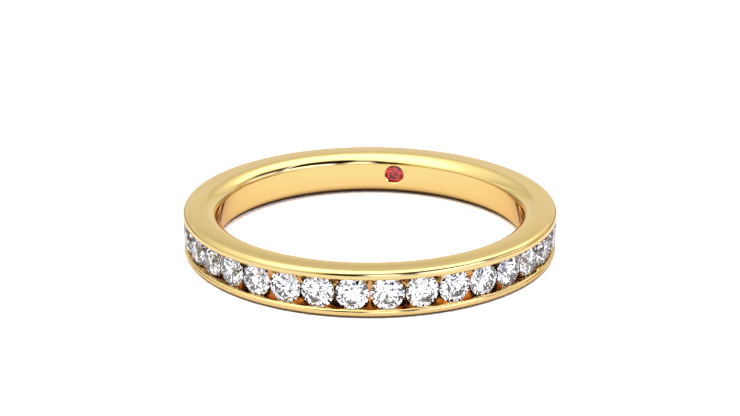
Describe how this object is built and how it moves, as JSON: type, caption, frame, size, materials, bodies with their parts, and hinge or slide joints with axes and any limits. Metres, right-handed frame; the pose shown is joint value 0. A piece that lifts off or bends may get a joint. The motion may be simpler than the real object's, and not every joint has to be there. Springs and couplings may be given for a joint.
{
  "type": "channel-set half eternity wedding ring",
  "caption": "Slim polished gold wedding band with a row of round brilliants held between two rails over the front half and a small red stone set flush inside.",
  "frame": {"origin": "on the ring's axis, on the face that the ring rests on", "axes": "+Z along the ring's axis, away from that face; -Y through the middle of the row of stones; +X to the right seen from the front"},
  "size_m": [0.0206, 0.0206, 0.0025],
  "materials": {
    "gold": "yellow gold, high polish",
    "diamond": "colourless, polished facets",
    "ruby": "deep red, polished facets"
  },
  "bodies": {
    "root": {"band": "gold", "diamond_01": "diamond", "diamond_02": "diamond", "diamond_03": "diamond", "diamond_04": "diamond", "diamond_05": "diamond", "diamond_06": "diamond", "diamond_07": "diamond", "diamond_08": "diamond", "diamond_09": "diamond", "diamond_10": "diamond", "diamond_11": "diamond", "diamond_12": "diamond", "diamond_13": "diamond", "diamond_14": "diamond", "diamond_15": "diamond", "diamond_16": "diamond", "diamond_17": "diamond", "diamond_18": "diamond", "ruby": "ruby"}
  },
  "joints": []
}
